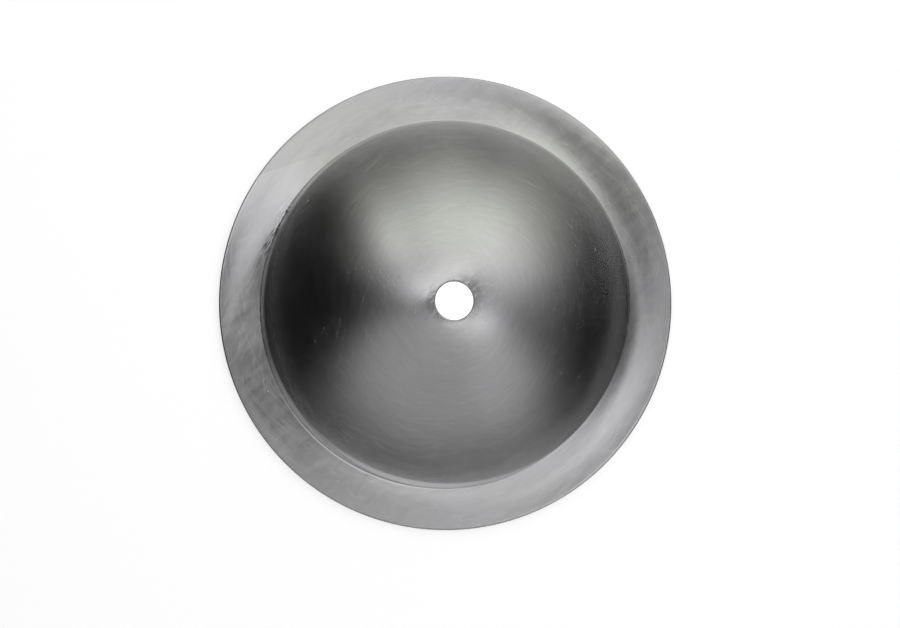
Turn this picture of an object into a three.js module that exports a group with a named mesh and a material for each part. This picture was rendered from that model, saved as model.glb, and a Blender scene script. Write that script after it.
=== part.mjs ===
// Bell cymbal: one disc of sheet steel, spun into a domed bell that stands in a flat rim, with a
// hole punched through a small flat seat at the crown. It is a single piece of metal: rim, wall and
// dome are the same sheet, and its two skins run parallel all the way.
//
// Millimetres, +Z up. The origin is on the bell's axis, in the plane that the rim lies on, so the
// part stands on its rim with the dome upwards.

import * as THREE from "three";

const { degToRad } = THREE.MathUtils;

// Driving dimensions, taken on the outer skin, which is the top one at the rim.
const SHEET = 2.5; // thickness of the metal, from rim to crown
const BELL_RADIUS = 62.7; // circle of the crease where the rim meets the wall
const RIM_WIDTH = 13.5; // from the crease to the outer edge, which makes the rim 152.4 across
const BELL_HEIGHT = 36; // from the plane under the rim to the top of the seat
const SWEEP_BEND = 18; // gentle hollow bend that lifts the rim towards the crease
const SWEEP_LEAN = degToRad(17); // steepness that the rim has reached at the crease
const CREASE_BEND = 1.2; // tight hollow bend from there into the wall
const STRAIGHT_WALL = 4.6; // length of the wall between its two bends
const WALL_LEAN = degToRad(86); // steepness of the wall
const FORMER_CORNER = 1; // rounding of the former that the sheet was turned down over
const HOLE_RADIUS = 6.25; // clears the sleeve of a cymbal stand
const SEAT_WIDTH = 2.75; // flat ring round the hole, which a felt washer presses on

// Edges are dressed to a share of the sheet's thickness.
const RIM_EDGE_SHARE = 0.4;
const HOLE_EDGE_SHARE = 0.16;

// Fineness of the facets.
const TURN_STEPS = 72;
const SWEEP_STEPS = 3;
const CREASE_STEPS = 3;
const SHOULDER_STEPS = 3;
const DOME_STEPS = 8;
const EDGE_STEPS = 2;

const STEEL_COLOUR = 0xa9a9aa;
const STEEL_ROUGHNESS = 0.3;

// Sizes that follow from the driving ones. The sheet hugs the former with its inner skin, so its
// outer skin turns on the former's rounding and the thickness together.
const RIM_RADIUS = BELL_RADIUS + RIM_WIDTH;
const RIM_EDGE = RIM_EDGE_SHARE * SHEET;
const HOLE_EDGE = HOLE_EDGE_SHARE * SHEET;
const SEAT_RADIUS = HOLE_RADIUS + HOLE_EDGE + SEAT_WIDTH;
const SHOULDER_BEND = FORMER_CORNER + SHEET;

// The section is drawn in a half plane, with the radius as x and the height as y. An angle there is
// the lean of the sheet from level, so on an arc it is also measured from straight up.
function onArc(centre, radius, lean) {
  return new THREE.Vector2(
    centre.x + radius * Math.sin(lean),
    centre.y + radius * Math.cos(lean),
  );
}

// An arc of the section from one lean to another, ends included.
function arc(centre, radius, from, to, steps) {
  return Array.from({ length: steps + 1 }, (_, i) =>
    onArc(centre, radius, from + ((to - from) * i) / steps),
  );
}

// The dome is part of a ball centred on the axis. The ball passes through the seat's edge and holds
// the shoulder's bend inside it, touching it, so the edge is one bend further from the ball's centre
// than the shoulder's own centre is. Squaring that twice gives a quadratic for the centre's height.
function findDomeCentre(seatEdge, shoulder) {
  const bend = SHOULDER_BEND ** 2;
  const drop = seatEdge.y - shoulder.y;
  const excess = (seatEdge.lengthSq() - shoulder.lengthSq() - bend) / 2;
  const a = drop ** 2 - bend;
  const b = excess * drop - bend * shoulder.y;
  const c = excess ** 2 - bend * shoulder.lengthSq();
  return new THREE.Vector2(0, (b - Math.sqrt(b ** 2 - a * c)) / a);
}

// Centres of the bends, each found from the one before, from the rim up to the crown.
const sweepCentre = new THREE.Vector2(
  BELL_RADIUS + SWEEP_BEND * Math.sin(SWEEP_LEAN),
  SHEET + SWEEP_BEND,
);
const creaseCentre = onArc(sweepCentre, CREASE_BEND - SWEEP_BEND, SWEEP_LEAN);
const wallFoot = onArc(creaseCentre, -CREASE_BEND, WALL_LEAN);
const wallHead = onArc(wallFoot, STRAIGHT_WALL, WALL_LEAN - Math.PI / 2);
const shoulderCentre = onArc(wallHead, -SHOULDER_BEND, WALL_LEAN);
const seatEdge = new THREE.Vector2(SEAT_RADIUS, BELL_HEIGHT);
const domeCentre = findDomeCentre(seatEdge, shoulderCentre);
const DOME_BEND = domeCentre.distanceTo(seatEdge);
const domeFoot = shoulderCentre.clone().sub(domeCentre);
const DOME_LEAN = Math.atan2(domeFoot.x, domeFoot.y);

// One skin of the sheet, from the rim to the seat, at a depth below the outer skin. A hollow bend
// widens with depth and a round one tightens, so the sheet keeps its thickness.
function skin(depth) {
  const dome = DOME_BEND - depth;
  const seatLean = Math.acos((BELL_HEIGHT - depth - domeCentre.y) / dome);
  return [
    ...arc(sweepCentre, -SWEEP_BEND - depth, 0, SWEEP_LEAN, SWEEP_STEPS),
    ...arc(creaseCentre, -CREASE_BEND - depth, SWEEP_LEAN, WALL_LEAN, CREASE_STEPS).slice(1),
    ...arc(shoulderCentre, SHOULDER_BEND - depth, WALL_LEAN, DOME_LEAN, SHOULDER_STEPS),
    ...arc(domeCentre, dome, DOME_LEAN, seatLean, DOME_STEPS).slice(1),
  ];
}

// A rounded corner of the section, turning from one lean to another.
function corner(x, y, radius, from, to) {
  return arc(new THREE.Vector2(x, y), radius, from, to, EDGE_STEPS);
}

// The whole section, once round: over the rim's edge, up the outer skin, down through the hole,
// back along the inner skin and out under the rim.
function section() {
  const quarter = Math.PI / 2;
  const rim = RIM_RADIUS - RIM_EDGE;
  const hole = HOLE_RADIUS + HOLE_EDGE;
  const seatUnderside = BELL_HEIGHT - SHEET;
  const points = [
    ...corner(rim, SHEET - RIM_EDGE, RIM_EDGE, quarter, 0),
    ...skin(0),
    ...corner(hole, BELL_HEIGHT - HOLE_EDGE, HOLE_EDGE, 0, -quarter),
    ...corner(hole, seatUnderside + HOLE_EDGE, HOLE_EDGE, -quarter, -2 * quarter),
    ...skin(SHEET).reverse(),
    ...corner(rim, RIM_EDGE, RIM_EDGE, 2 * quarter, quarter),
  ];
  return [...points, points[0].clone()];
}

function steel() {
  return new THREE.MeshStandardMaterial({
    color: STEEL_COLOUR,
    roughness: STEEL_ROUGHNESS,
    metalness: 1,
  });
}

// The section is turned about the lathe's upright axis, which is then stood along +Z.
function bellCymbal() {
  const mesh = new THREE.Mesh(new THREE.LatheGeometry(section(), TURN_STEPS), steel());
  mesh.name = "bell_cymbal";
  mesh.rotation.x = Math.PI / 2;
  return mesh;
}

const part = new THREE.Group();
part.add(bellCymbal());

export default part;
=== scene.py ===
# %% [markdown]
# # Dressing a bell cymbal
# The real object is one disc of sheet steel, spun into a dome that stands in a flat rim. A packed
# CAD model already holds its exact size and place. This lesson builds the fine surface around that
# model: the slightly uneven metal that hand work leaves, its brushed finish, and a small studio for
# it. A shiny grey thing has almost no colour of its own, so half of the work is giving it something
# to reflect.

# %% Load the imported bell
import math

import bpy
import numpy as np
from mathutils import Matrix, Vector, noise


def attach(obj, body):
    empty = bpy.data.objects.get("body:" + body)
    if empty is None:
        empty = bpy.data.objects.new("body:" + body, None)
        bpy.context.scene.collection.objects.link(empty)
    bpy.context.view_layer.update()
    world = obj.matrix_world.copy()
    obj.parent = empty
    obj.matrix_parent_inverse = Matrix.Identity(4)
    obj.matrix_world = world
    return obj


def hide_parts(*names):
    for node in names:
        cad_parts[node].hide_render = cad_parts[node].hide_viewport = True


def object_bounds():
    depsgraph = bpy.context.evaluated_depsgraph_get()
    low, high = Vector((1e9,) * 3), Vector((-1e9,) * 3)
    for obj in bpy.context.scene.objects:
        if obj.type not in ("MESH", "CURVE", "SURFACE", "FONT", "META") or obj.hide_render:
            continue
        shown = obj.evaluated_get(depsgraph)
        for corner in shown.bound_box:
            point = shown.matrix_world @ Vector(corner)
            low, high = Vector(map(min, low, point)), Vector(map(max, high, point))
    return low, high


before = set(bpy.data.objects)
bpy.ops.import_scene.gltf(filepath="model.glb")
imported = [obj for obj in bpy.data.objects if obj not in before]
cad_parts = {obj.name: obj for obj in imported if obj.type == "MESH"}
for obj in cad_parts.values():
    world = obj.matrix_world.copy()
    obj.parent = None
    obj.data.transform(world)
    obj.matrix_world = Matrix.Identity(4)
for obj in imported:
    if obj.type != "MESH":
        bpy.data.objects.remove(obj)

BELL_NODE = "bell_cymbal"
BODY = "root"
cad_low, cad_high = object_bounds()
print("the packed bell measures", [round(side, 4) for side in cad_high - cad_low], "metres")

# %% [markdown]
# ## The section
# A spun bell is nearly the same all round, so its shape is one section turned about an axis. The
# section could be traced point by point, but a metal spinner thinks in bends: a flat rim, a gentle
# hollow sweep, a tight crease, a short wall, a tight shoulder and the ball of the dome. Each bend is
# an arc here, tangent to the next one, and every length is in metres.

# %% Sizes of the bends
RIM_RADIUS = cad_high.x
BELL_HEIGHT = cad_high.z
SHEET = 0.0025
CREASE_RADIUS = 0.06205
CREASE_BEND = 0.0002
SHOULDER_BEND = 0.0009
DOME_BEND = 0.085
DOME_EDGE_RADIUS = 0.0602
HOLE_RADIUS = 0.00625
SEAT_WIDTH = 0.00275
RIM_EDGE = 0.00042
HOLE_EDGE = 0.16 * SHEET
SEAT_RADIUS = HOLE_RADIUS + HOLE_EDGE + SEAT_WIDTH
print("the rim is", round(2 * RIM_RADIUS * 1000, 1), "mm across and the hole is",
      round(2 * HOLE_RADIUS * 1000, 1))

# %% [markdown]
# A point of the section is a radius and a height. On an arc, its angle is the lean of the metal from
# level, so the crown has a lean of nought and the wall one of nearly a right angle. The dome is a
# ball whose skin ends at the outer edge of the seat. The seat isn't a sharp flat: pressing it only
# eased the ball's slope by a tenth on the way in to the hole.

# %% Set the ball of the dome
def on_arc(centre, radius, lean):
    return centre + radius * np.array([math.sin(lean), math.cos(lean)])


dome_end_lean = math.asin(SEAT_RADIUS / DOME_BEND)
SLOPE_KEPT = 0.9
SEAT_RISE = SEAT_WIDTH * math.tan(dome_end_lean) * (1 + SLOPE_KEPT) / 2
seat_height = BELL_HEIGHT - SEAT_RISE
dome_centre = np.array([0.0, seat_height - DOME_BEND * math.cos(dome_end_lean)])
print("the seat rises by", round(SEAT_RISE * 1000, 2), "mm above the ball's edge")

# %% [markdown]
# ## Fine points along the section
# The facets must be too small to see, so each arc gets many points: the last number that is given to
# an arc or a line says how many. Each stretch also keeps a name, which later says what finish it
# wears. The outer skin starts at the rim's edge. The rim is nearly flat and is given by its lean at
# four stations from the edge in to the crease, because a lean of one degree already moves what the
# metal mirrors. The heights follow by adding up the slopes.

# %% Draw arcs, lines and the rim's top
RIM_STEPS = 24
RIM_STATIONS = (0, 0.35, 0.65, 1)


def arc(centre, radius, start, end, steps):
    leans = np.linspace(start, end, steps, endpoint=False)
    return centre + radius * np.stack([np.sin(leans), np.cos(leans)], axis=1)


def line(start, end, steps):
    shares = np.linspace(0, 1, steps, endpoint=False)[:, None]
    return np.array(start) * (1 - shares) + np.array(end) * shares


def rim_top(crease_radius, leans):
    """The rim's top from its edge in to the crease, for leans in degrees at the stations."""
    shares = np.linspace(0, 1, RIM_STEPS)
    radii = RIM_RADIUS - RIM_EDGE - shares * (RIM_RADIUS - RIM_EDGE - crease_radius)
    slopes = np.tan(np.radians(np.interp(shares, RIM_STATIONS, leans)))
    rises = (slopes[1:] + slopes[:-1]) / 2 * -np.diff(radii)
    return np.stack([radii, SHEET + np.concatenate([[0], np.cumsum(rises)])], axis=1)


print("a rim that leans by 10 degrees at the crease rises to",
      round(rim_top(CREASE_RADIUS, [0, 0, 0, 10])[-1, 1] * 1000, 2), "mm")

# %% [markdown]
# The dome's edge hardly moves, but the crease wanders, so the wall between them changes its lean: it
# is the straight line that touches the bend above it and the crease's bend below. Towards the front
# the shoulder was hammered down into a narrow bevel, which shows from above as a lighter band between
# the dome and the rim. At the left the bends are rounder and the dome's edge lies further out.

# %% Draw the outer skin
BEVEL_LEAN = math.radians(55)
CORNER_BEND = 0.0004

dome_edge_lean = math.asin(DOME_EDGE_RADIUS / DOME_BEND)


def shoulder_centre(bend, edge_lean=dome_edge_lean):
    return on_arc(dome_centre, DOME_BEND - bend, edge_lean)


def wall_lean_between(crease_centre, corner_centre, corner_bend):
    """How steep the wall is that touches a bend above it and the crease's bend below."""
    out, down = crease_centre - corner_centre
    tilt = math.asin((corner_bend + CREASE_BEND) / math.hypot(out, down))
    return math.atan2(-down, out) + tilt


def outer_skin(crease_radius, leans, bevel_share, roundness, edge_shift):
    """The stretches from the rim's edge to the seat.

    Roundness is added to the shoulder's bends, and the shift to the radius of the dome's edge.
    """
    bend = SHOULDER_BEND + roundness
    edge_lean = math.asin((DOME_EDGE_RADIUS + edge_shift) / DOME_BEND)
    shoulder = shoulder_centre(bend, edge_lean)
    corner_bend = CORNER_BEND + roundness
    bevel_top = on_arc(shoulder, bend, BEVEL_LEAN)
    rim = rim_top(crease_radius, leans)
    rim_lean = math.radians(leans[-1])
    crease_centre = on_arc(rim[-1], CREASE_BEND, rim_lean)
    bevel_width = bevel_share * (crease_radius - bevel_top[0])
    bevel_foot = bevel_top + bevel_width * np.array([1, -math.tan(BEVEL_LEAN)])
    corner_centre = on_arc(bevel_foot, -corner_bend, BEVEL_LEAN)
    wall_lean = wall_lean_between(crease_centre, corner_centre, corner_bend)
    foot = on_arc(crease_centre, -CREASE_BEND, wall_lean)
    head = on_arc(corner_centre, corner_bend, wall_lean)
    return [
        ("rim", rim[:-1]),
        ("crease", arc(crease_centre, -CREASE_BEND, rim_lean, wall_lean, 7)),
        ("wall", line(foot, head, 6)),
        ("corner", arc(corner_centre, corner_bend, wall_lean, BEVEL_LEAN, 6)),
        ("bevel", line(bevel_foot, bevel_top, 4)),
        ("shoulder", arc(shoulder, bend, BEVEL_LEAN, edge_lean, 6)),
        ("dome", arc(dome_centre, DOME_BEND, edge_lean, dome_end_lean, 34)),
    ]


print("the dome is", round(math.degrees(dome_edge_lean), 1), "degrees steep at its edge")

# %% [markdown]
# The inner skin lies one sheet's thickness below the outer one, where hollow bends grow by the
# thickness and round ones shrink. Its shoulder has the small corner of the former, the block that the
# sheet is spun over. The hammer blows don't reach it, so it is the same all round.

# %% Draw the inner skin
INNER_SWEEP = 0.007
INNER_SWEEP_LEAN = math.radians(10)
FORMER_CORNER = 0.001


def inner_skin():
    """The stretches from the start of the sweep under the rim to the underside of the seat."""
    sweep_bend = INNER_SWEEP / math.sin(INNER_SWEEP_LEAN)
    sweep_centre = np.array([CREASE_RADIUS + INNER_SWEEP, SHEET + sweep_bend])
    crease_centre = on_arc(sweep_centre, CREASE_BEND - sweep_bend, INNER_SWEEP_LEAN)
    wall_lean = wall_lean_between(crease_centre, shoulder_centre(SHOULDER_BEND), SHOULDER_BEND)
    crease_bend = CREASE_BEND + SHEET
    dome_bend = DOME_BEND - SHEET
    away = np.array([math.sin(wall_lean), math.cos(wall_lean)])
    reach = away @ (crease_centre - dome_centre) - FORMER_CORNER - crease_bend
    dome_lean = wall_lean - math.acos(reach / (dome_bend - FORMER_CORNER))
    corner_centre = on_arc(dome_centre, dome_bend - FORMER_CORNER, dome_lean)
    foot = on_arc(crease_centre, -crease_bend, wall_lean)
    head = on_arc(corner_centre, FORMER_CORNER, wall_lean)
    end_lean = math.asin(SEAT_RADIUS / dome_bend)
    return [
        ("sweep", arc(sweep_centre, -sweep_bend - SHEET, 0, INNER_SWEEP_LEAN, 8)),
        ("crease", arc(crease_centre, -crease_bend, INNER_SWEEP_LEAN, wall_lean, 4)),
        ("wall", line(foot, head, 3)),
        ("shoulder", arc(corner_centre, FORMER_CORNER, wall_lean, dome_lean, 3)),
        ("dome", arc(dome_centre, dome_bend, dome_lean, end_lean, 17)),
    ]


print("the inner skin has", sum(len(points) for _, points in inner_skin()), "points")

# %% [markdown]
# The closed section runs once round the metal: over the rim's outer edge, up the outer skin, down
# through the hole, back along the inner skin and out under the rim.

# %% Draw the whole section
QUARTER = math.pi / 2


def seat_slope_away(steps):
    """The seat, where the ball's slope eases on the way in to the hole."""
    shares = np.linspace(0, 1, steps, endpoint=False)
    radii = SEAT_RADIUS - SEAT_WIDTH * shares
    eased = shares * (1 - (1 - SLOPE_KEPT) * shares / 2)
    heights = seat_height + SEAT_WIDTH * math.tan(dome_end_lean) * eased
    return np.stack([radii, heights], axis=1)


def turned_over(stretches, end):
    """The inner skin from crown to rim: every stretch the other way round, last one first."""
    starts = [points[0] for _, points in stretches[1:]] + [end]
    flipped = [(name + "_inside", np.vstack([start, points[1:][::-1]]))
               for (name, points), start in zip(stretches, starts)]
    return flipped[::-1]


def whole_section(crease_radius, leans, bevel_share, roundness, edge_shift):
    """The stretches once round the metal."""
    rim = RIM_RADIUS - RIM_EDGE
    hole = HOLE_RADIUS + HOLE_EDGE
    under = BELL_HEIGHT - SHEET
    return [
        ("rim_edge", arc(np.array([rim, SHEET - RIM_EDGE]), RIM_EDGE, QUARTER, 0, 5)),
        *outer_skin(crease_radius, leans, bevel_share, roundness, edge_shift),
        ("seat", seat_slope_away(9)),
        ("hole_edge", arc(np.array([hole, BELL_HEIGHT - HOLE_EDGE]), HOLE_EDGE, 0, -QUARTER, 4)),
        ("hole_wall", line((HOLE_RADIUS, BELL_HEIGHT - HOLE_EDGE), (HOLE_RADIUS, under + HOLE_EDGE), 3)),
        ("hole_edge", arc(np.array([hole, under + HOLE_EDGE]), HOLE_EDGE, -QUARTER, -2 * QUARTER, 4)),
        ("seat_inside", line((hole, under), (SEAT_RADIUS, under), 3)),
        *turned_over(inner_skin(), np.array([SEAT_RADIUS, under])),
        ("rim_under", line((CREASE_RADIUS + INNER_SWEEP, 0), (rim, 0), 3)),
        ("rim_edge", arc(np.array([rim, RIM_EDGE]), RIM_EDGE, 2 * QUARTER, QUARTER, 5)),
        ("rim_edge", line((RIM_RADIUS, RIM_EDGE), (RIM_RADIUS, SHEET - RIM_EDGE), 2)),
    ]


plain_section = whole_section(CREASE_RADIUS, [0, 0, 0, 10], bevel_share=0.1, roundness=0, edge_shift=0)
stretch_names = [name for name, points in plain_section for _ in points]
print("the section has", len(stretch_names), "points in", len(plain_section), "stretches")

# %% [markdown]
# ## The camera
# The bell is looked at almost straight down through a long lens, a little from its left, which is
# why the hole isn't quite in the middle of the rim. Placing the camera by hand would take many
# tries. Instead it is set by three facts read off a photograph: how far it leans from straight
# above, towards which side, and which point on the bell's top is in the middle of the picture.

# %% Place the camera
PICTURE_WIDTH = 900
PIXELS_PER_METRE = 2978
CAMERA_DISTANCE = 1.1
CAMERA_LEAN = math.radians(4.65)
CAMERA_SIDE = math.radians(193.8)
AIM = Vector((0.00118, -0.00365, SHEET))

camera_data = bpy.data.cameras.new("studio_camera")
camera_data.sensor_width = 36
camera_data.lens = camera_data.sensor_width * CAMERA_DISTANCE * PIXELS_PER_METRE / PICTURE_WIDTH
camera = bpy.data.objects.new("studio_camera", camera_data)
bpy.context.scene.collection.objects.link(camera)
bpy.context.scene.camera = camera

back = Vector((
    math.sin(CAMERA_LEAN) * math.cos(CAMERA_SIDE),
    math.sin(CAMERA_LEAN) * math.sin(CAMERA_SIDE),
    math.cos(CAMERA_LEAN),
))
across = (Vector((1, 0, 0)) - back * back.x).normalized()
camera.matrix_world = Matrix.Translation(AIM + back * CAMERA_DISTANCE) @ Matrix(
    (across, back.cross(across), back)).transposed().to_4x4()
print("the lens is", round(camera_data.lens), "mm long")

# %% [markdown]
# ## What the hands left behind
# A perfectly round bell looks like a computer's. On the real one the crease wanders by a millimetre,
# and a wave that goes round a whole number of times describes that with no seam. Whatever happens on
# one side only fades out over its reach instead, in degrees round the axis. For both, a size at an
# azimuth is all that the section needs to know.

# %% Waves and one-sided changes
def wave(azimuth, terms):
    """The sum of waves, each given as how often it goes round, its size and where it peaks."""
    return sum(size * math.cos(count * math.radians(azimuth - peak)) for count, size, peak in terms)


def near(azimuth, middle, reach):
    """1 at the middle of a stretch of the circle and 0 from its reach on, with no kink."""
    share = min(1.0, abs((azimuth - middle + 180) % 360 - 180) / reach)
    return (1 - share * share) ** 2


print("halfway out, a change keeps", near(30, 0, 60), "of its size")

# %% [markdown]
# The rim was dressed with a hammer in six places, each with its own lean at the edge, at two spots on
# the way and at the crease. Where two places overlap their leans add up. At the right the crease is
# lifted most, and the rim mirrors a light there that lies far out.

# %% The dressed places of the rim
DRESSED_PLACES = [
    ("right", 356, 59, (2, 2.5, -1.5, 17)),
    ("upper right", 53, 31, (5.5, -1.5, 1, 10)),
    ("top", 103, 82, (1.5, 0, 5, 5)),
    ("left", 175, 22, (-4, 3.5, 1, -6.5)),
    ("lower left", 204, 29, (6.5, -2, -0.5, 0)),
    ("lower right", 324, 67, (-2.5, 0, 6, 3.5)),
]


def rim_leans(azimuth):
    """The rim's lean in degrees at its stations, from the edge to the crease."""
    weights = [near(azimuth, middle, reach) for _, middle, reach, _ in DRESSED_PLACES]
    return weights @ np.array([leans for _, _, _, leans in DRESSED_PLACES])


for azimuth in (0, 90, 180, 270):
    print("at", azimuth, "degrees the rim leans by", [round(lean, 1) for lean in rim_leans(azimuth)])

# %% [markdown]
# The crease, the bevel and the dome's edge change in the same two ways. The crease wanders in waves
# and dips inwards at the lower right. The bevel is wide at the front and almost nothing elsewhere.

# %% The crease, the bevel and the shoulder at an azimuth
CREASE_WAVES = [(0, CREASE_RADIUS, 0), (1, 0.00057, 230), (2, 0.0005, 27), (5, 0.00004, 10)]
DIP_MIDDLE = 325
DIP_REACH = 48
CREASE_DIP = 0.0006
BEVEL_MIDDLE = 270
BEVEL_REACH = 62
BEVEL_SHARE = 0.85
BEVEL_LEAST = 0.05
ROUND_MIDDLE = 185
ROUND_REACH = 60
ROUND_BEND = 0.001
EDGE_MIDDLE = 203
EDGE_REACH = 62
EDGE_SHIFT = 0.0008


def crease_at(azimuth):
    return wave(azimuth, CREASE_WAVES) - CREASE_DIP * near(azimuth, DIP_MIDDLE, DIP_REACH)


def section_at(azimuth):
    bevel_share = BEVEL_LEAST + BEVEL_SHARE * near(azimuth, BEVEL_MIDDLE, BEVEL_REACH)
    roundness = ROUND_BEND * near(azimuth, ROUND_MIDDLE, ROUND_REACH)
    edge_shift = EDGE_SHIFT * near(azimuth, EDGE_MIDDLE, EDGE_REACH)
    stretches = whole_section(crease_at(azimuth), rim_leans(azimuth), bevel_share, roundness, edge_shift)
    return np.vstack([points for _, points in stretches])


crease_radii = [crease_at(azimuth) * 1000 for azimuth in range(360)]
print("the crease lies", round(min(crease_radii), 2), "to", round(max(crease_radii), 2), "mm out")

# %% [markdown]
# ## The mesh
# Turning the section gives a clean ring of four-sided faces with no seam. The mesh is a torus in
# its wiring: it is closed both along the section and round the axis. At the upper left the tool
# chattered in the crease and left small teeth. The turns stand closer together there, because a
# tooth is only about a millimetre long.

# %% Turn the section
CHATTER_MIDDLE = 156
CHATTER_REACH = 20
TURN_STEP = 0.9
FINE_STEP = 0.25
fine_start = CHATTER_MIDDLE - CHATTER_REACH
fine_end = CHATTER_MIDDLE + CHATTER_REACH
azimuths = np.concatenate([
    np.arange(fine_start, fine_end, FINE_STEP),
    np.arange(fine_end, fine_start + 360, TURN_STEP),
])


def turn(azimuths):
    """Vertices of the changing section turned about Z, as an array of turn, point and coordinate."""
    sections = np.array([section_at(azimuth) for azimuth in azimuths])
    angles = np.radians(azimuths)[:, None]
    return np.stack([
        sections[:, :, 0] * np.cos(angles),
        sections[:, :, 0] * np.sin(angles),
        sections[:, :, 1],
    ], axis=-1)


grid = turn(azimuths)
print("the turned section reaches", round(float(grid[:, :, 2].max()) * 1000, 3), "mm up")

# %% [markdown]
# The teeth are noise along the crease, coarse and fine, that pushes the crease and the foot of the
# wall in and out. It dies away to both sides and up the wall, so the dome isn't touched.

# %% Push the teeth in and out
CHATTER_DEPTH = 0.0004
CHATTER_PITCH = 0.0006
CHATTER_WIDTH = 0.0014
CHATTER_TOP = 0.009
COARSE_LINE = 3.7
FINE_LINE = 9.1
FINE_TEETH = 2.3
FINE_SHARE = 0.5


def chatter(azimuth):
    along = math.radians(azimuth) * CREASE_RADIUS / CHATTER_PITCH
    coarse = noise.noise(Vector((along, COARSE_LINE, 0)))
    fine = noise.noise(Vector((FINE_TEETH * along, FINE_LINE, 0)))
    return CHATTER_DEPTH * (coarse + FINE_SHARE * fine) * near(azimuth, CHATTER_MIDDLE, CHATTER_REACH)


radii = np.hypot(grid[:, :, 0], grid[:, :, 1])
push = np.array([chatter(azimuth) for azimuth in azimuths])
beside = np.clip(1 - ((radii - CREASE_RADIUS) / CHATTER_WIDTH) ** 2, 0, 1) ** 2
below = np.clip(2 - 2 * grid[:, :, 2] / CHATTER_TOP, 0, 1)
scale = 1 + push[:, None] * beside * below / radii
grid[:, :, 0] *= scale
grid[:, :, 1] *= scale
print("the teeth reach", round(float(np.abs(push).max()) * 1000, 2), "mm")

# %% [markdown]
# Then the whole surface is unsettled a little. The rim waves by about a tenth of a millimetre, which
# is enough to pull its reflections about, and the seat was pressed a bit askew. The waves only lift
# the rim's underside and lower the crown, so that nothing leaves the CAD model's box.

# %% Bend the rim and the seat
RIM_WAVES = [(2, 0.00005, 60), (3, 0.00004, 200), (5, 0.00002, 15)]
SEAT_DIP = 0.00014
SEAT_WAVES = [(2, 0.7, 15), (3, 0.3, 205), (5, 0.25, 30)]
SEAT_ONSET = 1.5

lift = np.array([wave(azimuth, RIM_WAVES) for azimuth in azimuths])
lift -= lift.min()
on_rim = np.clip((radii - CREASE_RADIUS) / (RIM_RADIUS - CREASE_RADIUS), 0, 1)
grid[:, :, 2] += lift[:, None] * on_rim
dip = np.array([wave(azimuth, SEAT_WAVES) for azimuth in azimuths])
dip = SEAT_DIP * (dip - dip.min()) / (dip.max() - dip.min())
on_seat = np.clip((SEAT_RADIUS - radii) / SEAT_WIDTH, 0, 1) ** SEAT_ONSET
grid[:, :, 2] -= dip[:, None] * on_seat
print("the rim is lifted by up to", round(float(lift.max()) * 1000, 2), "mm")

# %% [markdown]
# The dome also carries broad shallow lumps from the spinning. They need room: they fade out towards
# the floor and towards the crown. The noise is as often above nought as below it, so it is lowered a
# little, and more of the lumps are hollows. At the end the crown is brought back to its exact height.

# %% Raise the lumps
LUMP_SIZE = 0.02
LUMP_DEPTH = 0.00003
LUMP_LOWERING = 0.5
FLOOR_ROOM = 0.012
CROWN_ROOM = 0.002
CROWN_SHARE = 0.25

for point in grid.reshape(-1, 3):
    room = min(1.0, point[2] / FLOOR_ROOM, (BELL_HEIGHT - point[2]) / CROWN_ROOM + CROWN_SHARE)
    point[2] += LUMP_DEPTH * room * (noise.noise(Vector(point) / LUMP_SIZE) - LUMP_LOWERING)
grid[:, :, 2] *= BELL_HEIGHT / grid[:, :, 2].max()
print("it now reaches", round(float(grid[:, :, 2].max()) * 1000, 3), "mm up and",
      round(float(grid[:, :, 2].min()) * 1000, 3), "mm down")

# %% [markdown]
# Each face joins two neighbouring turns and two neighbouring points, and the last ones join back to
# the first.

# %% Build the mesh
def ring_faces(turns, count):
    """The four corners of every face, wrapped both ways."""
    here = np.arange(turns)[:, None] * count + np.arange(count)
    ahead = np.roll(here, -1, axis=0)
    up = np.roll(here, -1, axis=1)
    ahead_up = np.roll(ahead, -1, axis=1)
    return np.stack([here, ahead, ahead_up, up], axis=-1).reshape(-1, 4)


mesh = bpy.data.meshes.new("spun_bell")
faces = ring_faces(len(azimuths), len(stretch_names))
mesh.from_pydata(grid.reshape(-1, 3).tolist(), [], faces.tolist())
mesh.shade_smooth()
bell = bpy.data.objects.new("spun_bell", mesh)
bpy.context.scene.collection.objects.link(bell)
print("the bell has", len(mesh.polygons), "faces")

# %% [markdown]
# ## What finish each stretch wears
# Polishing reaches the outside and misses the rest, so the inside stays dull. The edge of the hole is
# darker in colour, as painted shade, and a little rougher, while the colour of the wall and the bends
# above it is painted lighter, as painted light, and the polish makes them a little smoother. The mesh
# itself can carry such facts: a named attribute holds one number per vertex, and the material reads
# it. That is simpler than several materials, and the change from one finish to the next stays soft.

# %% Store the finish in the mesh
DULLNESS = {"hole_wall": 0.7, "rim_under": 0.8}
INSIDE_DULLNESS = 1.0
# The hole's edge is painted darker, as painted shade, and the wall and the bends above it are painted
# lighter, as painted light.
POLISH_AND_PAINTED_LIGHT_BY_STRETCH = {"hole_edge": -2.0, "wall": 1.0, "bevel": 0.8, "shoulder": 0.3}


def dullness_of(name):
    return INSIDE_DULLNESS if name.endswith("_inside") else DULLNESS.get(name, 0.0)


def store(name, values):
    """Give the mesh an attribute, from one value for each turn and point."""
    attribute = mesh.attributes.new(name, "FLOAT", "POINT")
    attribute.data.foreach_set("value", np.ravel(values).astype(np.float32))
    print(name, "runs from", round(np.min(values), 2), "to", round(np.max(values), 2))


one_turn = np.array([dullness_of(name) for name in stretch_names])
store("dullness", np.tile(one_turn, (len(azimuths), 1)))
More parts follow.
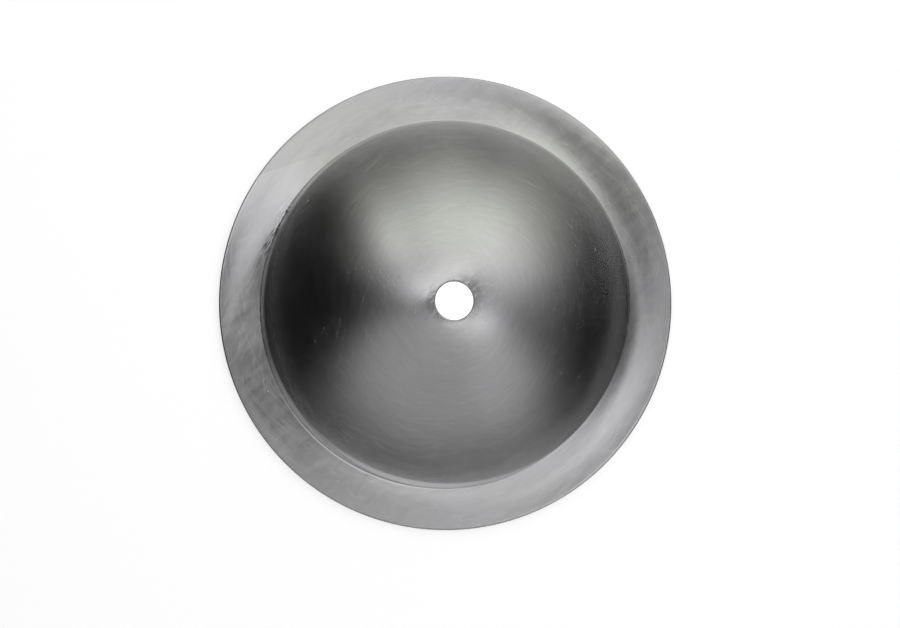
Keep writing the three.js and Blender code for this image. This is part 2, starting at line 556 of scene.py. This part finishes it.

# %% [markdown]
# Some painted light and shade runs round the bell for a part of the way only: painted light along the
# crease at the front, a painted dark reflection on the rim at the upper right, painted shade beside
# the crease at the right, a painted highlight in the crease at the lower right, painted shade on the
# wall at the left, and painted highlights round the hole, where the washer of the stand has also
# polished the metal. Each is strongest at one azimuth and one radius and fades out both ways, so it
# is one number for each turn times one for each point. The list gives the azimuth and the reach in
# degrees, the radius and the width in metres, and the strength, which is below nought where the
# colour is painted darker and the metal is a little rougher.

# %% Store the painted light and shade, and where the metal is polished or dull
# Every entry is painted light and shade in the colour: above nought it lightens, below nought it
# darkens. Only its share of the roughness is polish and dullness.
ROUND_PAINTED_LIGHT_AND_POLISH = [
    ("painted light along the crease", 238, 66, 0.0632, 0.0038, 2.4),
    ("painted dark reflection on the rim", 28, 38, 0.0683, 0.0036, -3.2),
    ("shade beside the crease", 5, 42, 0.0630, 0.0018, -2.2),
    ("painted highlight in the crease", 318, 40, 0.0612, 0.0005, 4.0),
    ("painted shade on the wall", 188, 52, 0.0608, 0.0016, -3.8),
    ("washer polish and painted highlight, back", 82, 80, 0.0096, 0.0040, 1.7),
    ("washer polish and painted highlight, left", 180, 40, 0.0088, 0.0022, 1.6),
    ("washer polish and painted highlight, front", 265, 42, 0.0078, 0.0013, 1.1),
]

one_turn = np.array([POLISH_AND_PAINTED_LIGHT_BY_STRETCH.get(name, 0.0) for name in stretch_names])
outside = np.array([dullness_of(name) == 0 for name in stretch_names])
grid_radii = np.hypot(grid[:, :, 0], grid[:, :, 1])
polish_and_painted_light_values = np.tile(one_turn, (len(azimuths), 1))
for _, middle, reach, radius, width, strength in ROUND_PAINTED_LIGHT_AND_POLISH:
    turns = np.array([near(azimuth, middle, reach) for azimuth in azimuths])
    points = np.exp(-((grid_radii - radius) / width) ** 2) * outside
    polish_and_painted_light_values = polish_and_painted_light_values + strength * turns[:, None] * points
store("polish_and_painted_light", polish_and_painted_light_values)

# %% [markdown]
# ## A wiring kit
# A material is a net of small steps. Written out in full, each step takes five lines, so short
# helpers do the wiring: one adds any step, one adds a step of arithmetic, one adds up several layers,
# and one makes a soft change between two levels. A socket that is given a number keeps it, and one
# that is given another step's output is linked to it.

# %% Helpers that add steps to a material
def step(tree, kind, sockets, **settings):
    made = tree.nodes.new("ShaderNode" + kind)
    for name, value in settings.items():
        setattr(made, name, value)
    for key, value in sockets.items():
        if isinstance(value, bpy.types.NodeSocket):
            tree.links.new(value, made.inputs[key])
        else:
            made.inputs[key].default_value = value
    return made


def reckon(tree, operation, *values):
    """One step of arithmetic on numbers or sockets."""
    return step(tree, "Math", dict(enumerate(values)), operation=operation).outputs[0]


def add_up(tree, shares):
    """The sum of sockets, each times its own size."""
    total = 0.0
    for socket, size in shares:
        total = reckon(tree, "MULTIPLY_ADD", socket, size, total)
    return total


def between(tree, socket, low, high):
    """0 below low, 1 above high, and a soft change from one to the other."""
    return step(tree, "MapRange", {"Value": socket, "From Min": low, "From Max": high},
                interpolation_type="SMOOTHSTEP").outputs[0]


print("the wiring kit is ready")

# %% [markdown]
# ## Where a spot lies on the bell
# Everything a lathe does runs round the axis, so the marks need three facts about a spot: which way
# it lies from the axis, how far out, and how far along the section. The distance along the section
# is close to height minus radius, because one of the two always changes on the way up from the rim.

# %% Directions, radius and path
def lie_of_the_bell(tree):
    place = step(tree, "TexCoord", {}).outputs["Object"]
    flat = step(tree, "VectorMath", {0: place, 1: (1, 1, 0)}, operation="MULTIPLY").outputs[0]
    radius = step(tree, "VectorMath", {0: flat}, operation="LENGTH").outputs["Value"]
    outward = step(tree, "VectorMath", {0: flat}, operation="NORMALIZE").outputs[0]
    height = step(tree, "SeparateXYZ", {0: place}).outputs["Z"]
    path = reckon(tree, "SUBTRACT", height, radius)
    return {"place": place, "flat": flat, "radius": radius, "outward": outward, "path": path}


print("the path runs from", round((SHEET - RIM_RADIUS) * 1000, 1), "mm at the rim to",
      round((BELL_HEIGHT - HOLE_RADIUS) * 1000, 1), "mm at the hole")

# %% [markdown]
# ## Marks that run round
# A cutting or rubbing tool on a turning bell leaves marks that are long round the axis and thin
# across. Noise gives them when its space is stretched: few noise cells round the bell and many along
# the section. If the direction is also turned in step with the logarithm of the radius, the marks
# cross the circles at a constant slant, which is what a polishing pad moved in and out leaves.

# %% Ring marks and slanting marks
def ring_marks(tree, lie, around, along, slant=None):
    """Noise with so many cells round the axis and per metre of path; slant is in degrees."""
    outward = lie["outward"]
    if slant:
        twist = reckon(tree, "MULTIPLY", reckon(tree, "LOGARITHM", lie["radius"], math.e),
                       1 / math.tan(math.radians(slant)))
        outward = step(tree, "VectorRotate", {"Vector": outward, "Angle": twist},
                       rotation_type="Z_AXIS").outputs[0]
    wide = step(tree, "VectorMath", {0: outward, "Scale": around}, operation="SCALE").outputs[0]
    deep = step(tree, "CombineXYZ", {"Z": reckon(tree, "MULTIPLY", lie["path"], along)}).outputs[0]
    spot = step(tree, "VectorMath", {0: wide, 1: deep}, operation="ADD").outputs[0]
    return step(tree, "TexNoise", {"Vector": spot, "Scale": 1.0, "Detail": 3.0}).outputs[0]


sample_slant = 14
doubling_turn = math.degrees(math.log(2) / math.tan(math.radians(sample_slant)))
print("a mark with a slant of", sample_slant, "degrees goes round by", round(doubling_turn),
      "degrees while its radius doubles")

# %% [markdown]
# ## Marks in one place
# Handling leaves straight marks in one spot: a few scratches from a buckle, a patch wiped with
# cloth. Each patch is a soft oval that says where, and stretched noise that says which way the
# strokes lie. The oval is worth its own helper, because the studio lights need the same shape later.

# %% Soft ovals and straight strokes
def soft_oval(tree, flat, centre, reach, turned, hardness):
    """1 in the middle of an oval and 0 far outside; a larger hardness gives a clearer edge."""
    inside = step(tree, "Mapping", {
        "Vector": flat,
        "Location": (*centre, 0),
        "Rotation": (0, 0, math.radians(turned)),
        "Scale": (*reach, 1),
    }, vector_type="TEXTURE").outputs[0]
    far = step(tree, "VectorMath", {0: inside}, operation="LENGTH").outputs["Value"]
    steep = reckon(tree, "POWER", far, hardness)
    return reckon(tree, "EXPONENT", reckon(tree, "MULTIPLY", steep, -1))


STROKE_EDGE = 0.16


def straight_strokes(tree, lie, angle, length, thickness, rarity):
    """Thin straight strokes at an angle in degrees; a rarity near 1 leaves very few."""
    turned = step(tree, "Mapping", {
        "Vector": lie["place"],
        "Rotation": (0, 0, math.radians(angle)),
        "Scale": (length, thickness, length),
    }, vector_type="TEXTURE").outputs[0]
    marks = step(tree, "TexNoise", {"Vector": turned, "Scale": 1.0, "Detail": 2.0}).outputs[0]
    return between(tree, marks, rarity, rarity + STROKE_EDGE)


print("at its reach an oval has", round(math.exp(-1), 2), "left")

# %% [markdown]
# The patches are listed with the middle and the reach of the oval and its turn, then the angle,
# length and thickness of the strokes, and how rare they are and how strong. Lengths are in metres.
# Strokes with a strength below nought are dark, as in the torn crease and the ticks in the crease,
# where the dark strokes are painted shade.

# %% The patches of handling marks and painted shade
PATCH_HARDNESS = 2.5
PATCHES = [
    # The dark strokes of the torn crease and of the ticks in the crease are painted shade.
    ("torn crease", (-0.0566, 0.0262), (0.011, 0.0016), 64, 58, 0.0035, 0.0006, 0.48, -4.5),
    ("ticks in the crease", (-0.0475, -0.0405), (0.005, 0.0012), -50, -42, 0.002, 0.0005, 0.52, -4.0),
    ("brushed beside the hole", (-0.0205, 0.0082), (0.010, 0.006), -40, -56, 0.008, 0.0009, 0.5, 0.8),
    ("worn round the hole", (0.001, 0.001), (0.0115, 0.0105), 0, 35, 0.0036, 0.0018, 0.5, 1.7),
    ("left of the dome", (-0.0385, -0.007), (0.013, 0.018), 0, 80, 0.009, 0.0012, 0.54, 0.5),
    ("two long scratches", (0.0412, -0.0098), (0.006, 0.0036), 32, 34, 0.010, 0.0005, 0.6, 1.2),
    ("right of the dome", (0.039, 0.008), (0.014, 0.021), 0, 84, 0.008, 0.0009, 0.56, 0.7),
    ("lower right edge", (0.047, -0.031), (0.008, 0.012), 45, 52, 0.010, 0.0009, 0.52, 0.5),
    ("left of the rim", (-0.0700, -0.004), (0.008, 0.024), 0, 62, 0.022, 0.0040, 0.42, 0.8),
    ("top of the rim", (-0.0150, 0.0700), (0.022, 0.008), 0, 15, 0.022, 0.0040, 0.42, 0.8),
]


def handling_marks_and_painted_shade(tree, lie):
    total = 0.0
    for _, centre, reach, turned, angle, length, thickness, rarity, strength in PATCHES:
        where = soft_oval(tree, lie["flat"], centre, reach, turned, PATCH_HARDNESS)
        strokes = straight_strokes(tree, lie, angle, length, thickness, rarity)
        here = reckon(tree, "MULTIPLY", where, strokes)
        total = reckon(tree, "MULTIPLY_ADD", here, strength, total)
    return total


print(len(PATCHES), "patches of handling marks and painted shade")

# %% [markdown]
# On the upper left of the rim the colour beyond a straight line is painted lighter, as a painted
# highlight with a clear edge. A line is a direction across it and a distance from the axis along that
# direction, so one step measures how far a spot lies beyond it. An oval says how far along the rim
# the light side goes.

# %% The painted highlight wedge on the rim
WEDGE_ACROSS = (0.304, -0.953, 0)
WEDGE_OFFSET = -0.06065
WEDGE_FADE = 0.0012
WEDGE_OVAL = ((-0.058, 0.041), (0.018, 0.010), 55)


def painted_highlight_wedge(tree, lie):
    distance = step(tree, "VectorMath", {0: lie["place"], 1: WEDGE_ACROSS}, operation="DOT_PRODUCT")
    below = between(tree, distance.outputs["Value"], WEDGE_OFFSET, WEDGE_OFFSET + WEDGE_FADE)
    return reckon(tree, "MULTIPLY", below, soft_oval(tree, lie["flat"], *WEDGE_OVAL, PATCH_HARDNESS))


print("the edge of the painted highlight passes", round(-WEDGE_OFFSET * 1000, 1), "mm from the axis")

# %% [markdown]
# Dust and tiny dents show as specks. They are the middles of the cells of a Voronoi pattern, and
# only the cells that draw a high random number get one.

# %% Specks
SPECK_CELL = 0.0026
SPECK_CORE = 0.02
SPECK_SIZE = 0.11
SPECK_SHARE = 0.94


def specks(tree, lie):
    cells = step(tree, "TexVoronoi", {"Vector": lie["place"], "Scale": 1 / SPECK_CELL})
    beyond = between(tree, cells.outputs["Distance"], SPECK_CORE, SPECK_SIZE)
    middle = reckon(tree, "SUBTRACT", 1, beyond)
    chance = step(tree, "SeparateXYZ", {0: cells.outputs["Color"]}).outputs["X"]
    return reckon(tree, "MULTIPLY", middle, reckon(tree, "GREATER_THAN", chance, SPECK_SHARE))


print("one cell in", round(1 / (1 - SPECK_SHARE)), "has a speck")

# %% [markdown]
# ## Smudges on the rim
# The rim is where hands and cloths go most, so it is mottled: soft blots a few millimetres long that
# lie across the turning marks. The noise is stretched along one direction for that. Its middle value
# is taken off, so that a blot lightens as much as it darkens, and it fades away on the dome.

# %% Smudges
SMUDGE_LENGTH = 0.0075
SMUDGE_WIDTH = 0.0028
SMUDGE_ANGLE = 38
SMUDGE_INSIDE = 0.0600
SMUDGE_OUTSIDE = 0.0640
NOISE_MIDDLE = 0.5


def rim_smudges(tree, lie):
    stretched = step(tree, "Mapping", {
        "Vector": lie["place"],
        "Rotation": (0, 0, math.radians(SMUDGE_ANGLE)),
        "Scale": (SMUDGE_LENGTH, SMUDGE_WIDTH, SMUDGE_LENGTH),
    }, vector_type="TEXTURE").outputs[0]
    blots = step(tree, "TexNoise", {"Vector": stretched, "Scale": 1.0, "Detail": 1.0,
                                    "Distortion": 0.6}).outputs[0]
    on_rim = between(tree, lie["radius"], SMUDGE_INSIDE, SMUDGE_OUTSIDE)
    return reckon(tree, "MULTIPLY", reckon(tree, "SUBTRACT", blots, NOISE_MIDDLE), on_rim)


print("a smudge is about", SMUDGE_LENGTH * 1000, "mm long and", SMUDGE_WIDTH * 1000, "mm wide")

# %% [markdown]
# ## The layers of the finish
# Polished steel shows several things at once: thin rings from turning, swirls from polishing, broad
# clouds from oils and tarnish, and the marks above. Each is a layer, which is a number at every spot,
# and all are kept under plain names, because the colour, the roughness and the depth of the metal
# each take their own share of them. Ring marks are given by their cells round the axis and per metre
# of path. A swirl also has its slant in degrees, and the value of the noise from which on it shows.
# Most of the fine grain has been polished off the rim.

# %% Lay the layers
RING_MARKS = {"grain": (5, 2600), "flecks": (14, 900), "bands": (2.2, 420)}
GRAIN_OFF_RIM = 0.8
SWIRLS = [(16, 190, 14, 0.52), (22, 240, -19, 0.54)]
SWIRL_EDGE = 0.22
CLOUDS_PER_METRE = 70.0


def swirl(tree, lie, around, along, slant, start):
    marks = ring_marks(tree, lie, around, along, slant)
    return between(tree, marks, start, start + SWIRL_EDGE)


def finish_layers(tree, lie):
    layers = {name: ring_marks(tree, lie, *cells) for name, cells in RING_MARKS.items()}
    on_rim = between(tree, lie["radius"], SMUDGE_INSIDE, SMUDGE_OUTSIDE)
    grain_left = reckon(tree, "MULTIPLY_ADD", on_rim, -GRAIN_OFF_RIM, 1.0)
    layers["grain"] = reckon(tree, "MULTIPLY", layers["grain"], grain_left)
    layers["swirls"] = reckon(tree, "MAXIMUM", *[swirl(tree, lie, *facts) for facts in SWIRLS])
    layers["clouds"] = step(tree, "TexNoise", {"Vector": lie["place"], "Scale": CLOUDS_PER_METRE,
                                              "Detail": 2.5}).outputs[0]
    layers["smudges"] = rim_smudges(tree, lie)
    layers["marks"] = handling_marks_and_painted_shade(tree, lie)
    layers["specks"] = specks(tree, lie)
    layers["wedge"] = painted_highlight_wedge(tree, lie)
    # The second attribute holds polish together with painted light and shade.
    for name in ("dullness", "polish_and_painted_light"):
        layers[name] = step(tree, "Attribute", {}, attribute_name=name).outputs["Fac"]
    return layers


print("the grain's rings are", round(1000 / RING_MARKS["grain"][1], 2), "mm wide and the bands are",
      round(1000 / RING_MARKS["bands"][1], 1))

# %% [markdown]
# ## The colour of the steel
# Steel is a mid grey with almost no colour, but it isn't the same all over: it wanders between a warm
# and a cool grey. An oval at the back of the dome is painted warm, as the warm tint of a painted
# reflection. A ramp turns one number, the coolness, into those greys. Then the layers lighten or darken
# it, each by its own share.

# %% Mix the colour
STEEL_RAMP = [(0.35, (0.574, 0.585, 0.548, 1)), (0.65, (0.581, 0.578, 0.591, 1))]
TINTS_PER_METRE = 24.0
TINT_COOLING = 0.5
# The warm oval is the warm tint of a painted reflection.
WARM_REFLECTION_OVAL = ((0.004, 0.038), (0.050, 0.026), 0, 3)
REFLECTION_WARMING = 0.4
LEAST_COOLNESS = 0.4
# Of these shares, the wedge is a painted highlight, the polish layer lightens and darkens as painted
# light and shade, and the dark marks in the crease are painted shade.
LIGHTENING = {
    "grain": 0.15, "flecks": 0.09, "bands": 0.08, "clouds": 0.12, "swirls": 0.07, "smudges": 0.22,
    "marks": 0.11, "specks": 0.15, "dullness": -0.28, "polish_and_painted_light": 0.12, "wedge": 0.12,
}
LEAST_BRIGHTNESS = 0.79


def weigh(tree, layers, shares):
    """The sum of the layers, each times its own share."""
    return add_up(tree, [(layers[name], share) for name, share in shares.items()])


def steel_colour(tree, lie, layers):
    tint = step(tree, "TexNoise", {"Vector": lie["place"], "Scale": TINTS_PER_METRE, "Detail": 1.0})
    painted_warm_reflection = soft_oval(tree, lie["flat"], *WARM_REFLECTION_OVAL)
    coolness = add_up(tree, [(tint.outputs[0], TINT_COOLING), (painted_warm_reflection, -REFLECTION_WARMING)])
    grey = step(tree, "ValToRGB", {0: reckon(tree, "ADD", coolness, LEAST_COOLNESS)})
    for element, (position, colour) in zip(grey.color_ramp.elements, STEEL_RAMP):
        element.position = position
        element.color = colour
    brightness = reckon(tree, "ADD", weigh(tree, layers, LIGHTENING), LEAST_BRIGHTNESS)
    return step(tree, "VectorMath", {0: grey.outputs[0], "Scale": brightness},
                operation="SCALE").outputs[0]


print(len(LIGHTENING), "layers lighten or darken the steel")

# %% [markdown]
# ## The steel
# Bare steel is a metal shader. Its highlights are drawn out across the turning marks, because a
# groove scatters light sideways, so the shader is anisotropic with its grain laid round the axis. The
# layers change how rough the metal is, and they have a depth in metres, where a depth below nought is
# a hollow. A bump step turns the depth into slopes. Most of the depths are only a few thousandths of
# a millimetre, since a mirror doubles every slope.

# %% Mix the steel
ROUGHENING = {
    "grain": 0.02, "bands": 0.03, "clouds": 0.06, "swirls": 0.03, "smudges": 0.06, "marks": 0.06,
    "specks": 0.1, "dullness": 0.16, "polish_and_painted_light": -0.03,
}
LEAST_ROUGHNESS = 0.175
DEPTHS = {
    "grain": 0.0000004, "bands": 0.000004, "swirls": -0.0000026, "clouds": 0.000022,
    "smudges": 0.000007, "marks": -0.000002, "specks": -0.000005,
}
GRAIN_PULL = 0.6
QUARTER_TURN = 0.25


def spun_steel(name):
    material = bpy.data.materials.new(name)
    material.use_nodes = True
    tree = material.node_tree
    shader = tree.nodes["Principled BSDF"]
    lie = lie_of_the_bell(tree)
    layers = finish_layers(tree, lie)
    tree.links.new(steel_colour(tree, lie, layers), shader.inputs["Base Color"])
    roughness = reckon(tree, "ADD", weigh(tree, layers, ROUGHENING), LEAST_ROUGHNESS)
    tree.links.new(roughness, shader.inputs["Roughness"])
    depth = weigh(tree, layers, DEPTHS)
    bump = step(tree, "Bump", {"Height": depth, "Strength": 1.0, "Distance": 1.0})
    tree.links.new(bump.outputs[0], shader.inputs["Normal"])
    grain_way = step(tree, "Tangent", {}, direction_type="RADIAL", axis="Z")
    tree.links.new(grain_way.outputs[0], shader.inputs["Tangent"])
    shader.inputs["Metallic"].default_value = 1
    shader.inputs["Anisotropic"].default_value = GRAIN_PULL
    shader.inputs["Anisotropic Rotation"].default_value = QUARTER_TURN
    print(name, "has", len(tree.nodes), "steps")
    return material


mesh.materials.append(spun_steel("hand_polished_steel"))
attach(bell, BODY)
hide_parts(BELL_NODE)

# %% [markdown]
# ## The studio
# What stands round the bell is a stage and no part of it. Two helpers do what all of its pieces
# need: one makes a piece from vertices and faces, and the other starts a material that has nothing
# in it yet.

# %% Helpers for the studio
def staged(name, vertices, faces, material):
    """A piece of the studio: it isn't part of the bell."""
    data = bpy.data.meshes.new(name)
    data.from_pydata(vertices, [], faces)
    data.materials.append(material)
    data.shade_smooth()
    item = bpy.data.objects.new(name, data)
    bpy.context.scene.collection.objects.link(item)
    return item


def empty_material(name):
    material = bpy.data.materials.new(name)
    material.use_nodes = True
    tree = material.node_tree
    tree.nodes.remove(tree.nodes["Principled BSDF"])
    return material, tree, tree.nodes["Material Output"].inputs["Surface"]


print("the studio kit is ready")

# %% [markdown]
# ## The floor
# The bell stands on a wide pale floor that fades into a white background. The floor is matt, so it
# takes the bell's shadow, and it glows a little for the eye and for the metal, so that both see it
# as white. The glow is seen, but it lights nothing: the Light Path node tells the camera's rays and
# the mirrored ones from those that gather light. Right under the bell, where the tent's light doesn't
# come, the glow makes up for it, so that the hole shows white. Far out, where that light is thin, it
# does the same. Each of these changes is given by the distances at which it starts and ends.

# %% Lay the floor
FLOOR_REACH = 8.0
FLOOR_DROP = 0.0002
FLOOR_PAINT = (0.7, 0.7, 0.7, 1)
FLOOR_GLOW = 0.72
UNDER_BELL = (0.045, 0.0585)
FAR_FLOOR = (0.3, 0.6)


def pale_floor():
    material, tree, surface = empty_material("pale_floor")
    ray = step(tree, "LightPath", {})
    seen = reckon(tree, "MAXIMUM", ray.outputs["Is Camera Ray"], ray.outputs["Is Glossy Ray"])
    seen = reckon(tree, "MAXIMUM", seen, ray.outputs["Is Transmission Ray"])
    place = step(tree, "NewGeometry", {}).outputs["Position"]
    distance = step(tree, "VectorMath", {0: place}, operation="LENGTH").outputs["Value"]
    below = reckon(tree, "SUBTRACT", 1, between(tree, distance, *UNDER_BELL))
    full = reckon(tree, "MAXIMUM", below, between(tree, distance, *FAR_FLOOR))
    level = reckon(tree, "MULTIPLY_ADD", full, 1 - FLOOR_GLOW, FLOOR_GLOW)
    glow = step(tree, "Emission", {"Strength": reckon(tree, "MULTIPLY", seen, level)})
    paint = step(tree, "BsdfDiffuse", {"Color": FLOOR_PAINT})
    both = step(tree, "AddShader", {0: paint.outputs[0], 1: glow.outputs[0]})
    tree.links.new(both.outputs[0], surface)
    return material


corners = [(-1, -1), (1, -1), (1, 1), (-1, 1)]
staged("floor", [(x * FLOOR_REACH, y * FLOOR_REACH, -FLOOR_DROP) for x, y in corners],
       [(0, 1, 2, 3)], pale_floor())
print("the floor is", 2 * FLOOR_REACH, "metres across")

# %% [markdown]
# ## The light tent
# Shiny metal is photographed inside a tent of white cloth, lit from outside. The bell mirrors the
# whole tent, so the lit and unlit parts of the cloth draw the broad lights and darks on it. A strong
# pool of light lies behind the bell's middle and a weaker one in front, and a bright narrow one joins
# them overhead. A faint one fills in at the right, and a small one lies behind at the left. Two dark
# gaps are cut out of them: one runs across just overhead, and the other lies beside it at the right.
# The cloth could be lit with lamps, but a cloth that glows by itself is smoother and its pools go
# exactly where they are wanted. A spot on the tent is named by where it lies seen from above, as a
# share of the tent's radius. Each pool has its middle, its reach both ways, its turn in degrees, how
# hard its edge is, and how bright it is. A gap has the same, with the share of light that it takes.

# %% Light the cloth
TENT_RADIUS = 0.8
POOLS = [
    ((0.17, 0.48), (0.56, 0.41), -30, 3.3, 0.99),
    ((-0.02, -0.49), (0.68, 0.50), -4, 6.5, 0.41),
    ((0.04, 0.00), (0.37, 0.17), -24, 8, 1.24),
    ((0.51, 0.04), (0.95, 0.35), 87, 8, 0.12),
    ((-0.40, 0.43), (0.28, 0.14), -82, 1.6, 0.79),
]
GAPS = [
    ((0.205, 0.125), (0.14, 0.10), 25, 6, 0.80),
    ((0.03, -0.01), (0.27, 0.10), -1, 8, 0.96),
]


def glowing_cloth():
    material, tree, surface = empty_material("glowing_cloth")
    place = step(tree, "NewGeometry", {}).outputs["Position"]
    flat = step(tree, "VectorMath", {0: place, 1: (1 / TENT_RADIUS, 1 / TENT_RADIUS, 0)},
                operation="MULTIPLY").outputs[0]
    light = add_up(tree, [(soft_oval(tree, flat, centre, reach, turned, hardness), level)
                          for centre, reach, turned, hardness, level in POOLS])
    for centre, reach, turned, hardness, level in GAPS:
        gap = soft_oval(tree, flat, centre, reach, turned, hardness)
        kept = reckon(tree, "MULTIPLY_ADD", gap, -level, 1.0)
        light = reckon(tree, "MULTIPLY", light, kept)
    glow = step(tree, "Emission", {"Strength": light})
    tree.links.new(glow.outputs[0], surface)
    return material


print("the cloth has", len(POOLS), "pools of light and", len(GAPS), "dark gaps")

# %% [markdown]
# The tent is half a ball over the bell. The camera stands outside it, so the cloth is hidden from the
# camera's own rays and stays there for the mirrored ones.

# %% Sew the tent
TENT_TURNS = 72
TENT_RINGS = 30


def dome_mesh(radius, turns, rings):
    """Vertices and faces of half a ball, open below."""
    vertices = [(0, 0, radius)]
    for ring in range(1, rings + 1):
        lean = QUARTER * ring / rings
        for turn_number in range(turns):
            angle = 2 * math.pi * turn_number / turns
            vertices.append((radius * math.sin(lean) * math.cos(angle),
                             radius * math.sin(lean) * math.sin(angle), radius * math.cos(lean)))
    faces = [(0, 1 + here, 1 + (here + 1) % turns) for here in range(turns)]
    for ring in range(rings - 1):
        for here in range(turns):
            upper = 1 + ring * turns
            lower = upper + turns
            beside = (here + 1) % turns
            faces.append((upper + here, lower + here, lower + beside, upper + beside))
    return vertices, faces


tent = staged("light_tent", *dome_mesh(TENT_RADIUS, TENT_TURNS, TENT_RINGS), glowing_cloth())
tent.visible_camera = False
print("the tent has", len(tent.data.polygons), "faces")

# %% [markdown]
# ## The mat
# The steep side of the dome looks almost level across the room, down to the floor round it. A white
# floor there would wash the dome's edge out, so a dark mat lies round the bell. It is grey behind
# and in front, where the light of the pools falls on it, most of all close to the bell, and nearly
# black at the left and the right. Each light on it has its azimuth, its level, and how fast it falls
# off to the sides. Only the metal sees the mat, like a card that is kept just out of the picture.

# %% Lay the mat
MAT_UNDER_RIM = 0.0008
MAT_INSIDE = RIM_RADIUS - MAT_UNDER_RIM
MAT_OUTSIDE = 0.4
MAT_TURNS = 72
MAT_LIGHTS = [(91, 0.39, 1.5), (271, 0.275, 2.6)]
MAT_DARK = 0.012
MAT_NEAR = 0.10
MAT_FAR = 0.17
MAT_NEAR_BOOST = 1.1


def mat_cloth():
    material, tree, surface = empty_material("mat_cloth")
    place = step(tree, "NewGeometry", {}).outputs["Position"]
    outward = step(tree, "VectorMath", {0: place}, operation="NORMALIZE").outputs[0]
    light = MAT_DARK
    for azimuth, level, falloff in MAT_LIGHTS:
        towards = (math.cos(math.radians(azimuth)), math.sin(math.radians(azimuth)), 0)
        facing = step(tree, "VectorMath", {0: outward, 1: towards}, operation="DOT_PRODUCT")
        lit = reckon(tree, "POWER", reckon(tree, "MAXIMUM", facing.outputs["Value"], 0), falloff)
        light = reckon(tree, "MULTIPLY_ADD", lit, level, light)
    distance = step(tree, "VectorMath", {0: place}, operation="LENGTH").outputs["Value"]
    closeness = reckon(tree, "SUBTRACT", 1, between(tree, distance, MAT_NEAR, MAT_FAR))
    light = reckon(tree, "MULTIPLY", light, reckon(tree, "MULTIPLY_ADD", closeness, MAT_NEAR_BOOST, 1.0))
    glow = step(tree, "Emission", {"Strength": light})
    tree.links.new(glow.outputs[0], surface)
    return material


def flat_ring(inside, outside, height, turns):
    angles = [2 * math.pi * number / turns for number in range(turns)]
    vertices = [(radius * math.cos(angle), radius * math.sin(angle), height)
                for radius in (inside, outside) for angle in angles]
    faces = [(here, turns + here, turns + (here + 1) % turns, (here + 1) % turns)
             for here in range(turns)]
    return vertices, faces


mat = staged("dark_mat", *flat_ring(MAT_INSIDE, MAT_OUTSIDE, -FLOOR_DROP / 2, MAT_TURNS), mat_cloth())
mat.visible_camera = False
mat.visible_diffuse = False
mat.visible_shadow = False
print("the mat reaches", MAT_OUTSIDE, "metres out")

# %% [markdown]
# ## Surroundings and colour
# Outside the tent everything is plain white. The picture's colours are left as they come, with the
# Standard view, so that a grey in the scene is the same grey in the picture.

# %% White surroundings
world = bpy.data.worlds.new("white_surroundings")
bpy.context.scene.world = world
world.use_nodes = True
background = world.node_tree.nodes["Background"]
background.inputs["Color"].default_value = (1, 1, 1, 1)
background.inputs["Strength"].default_value = 1
bpy.context.scene.view_settings.view_transform = "Standard"
print("the view is", bpy.context.scene.view_settings.view_transform)
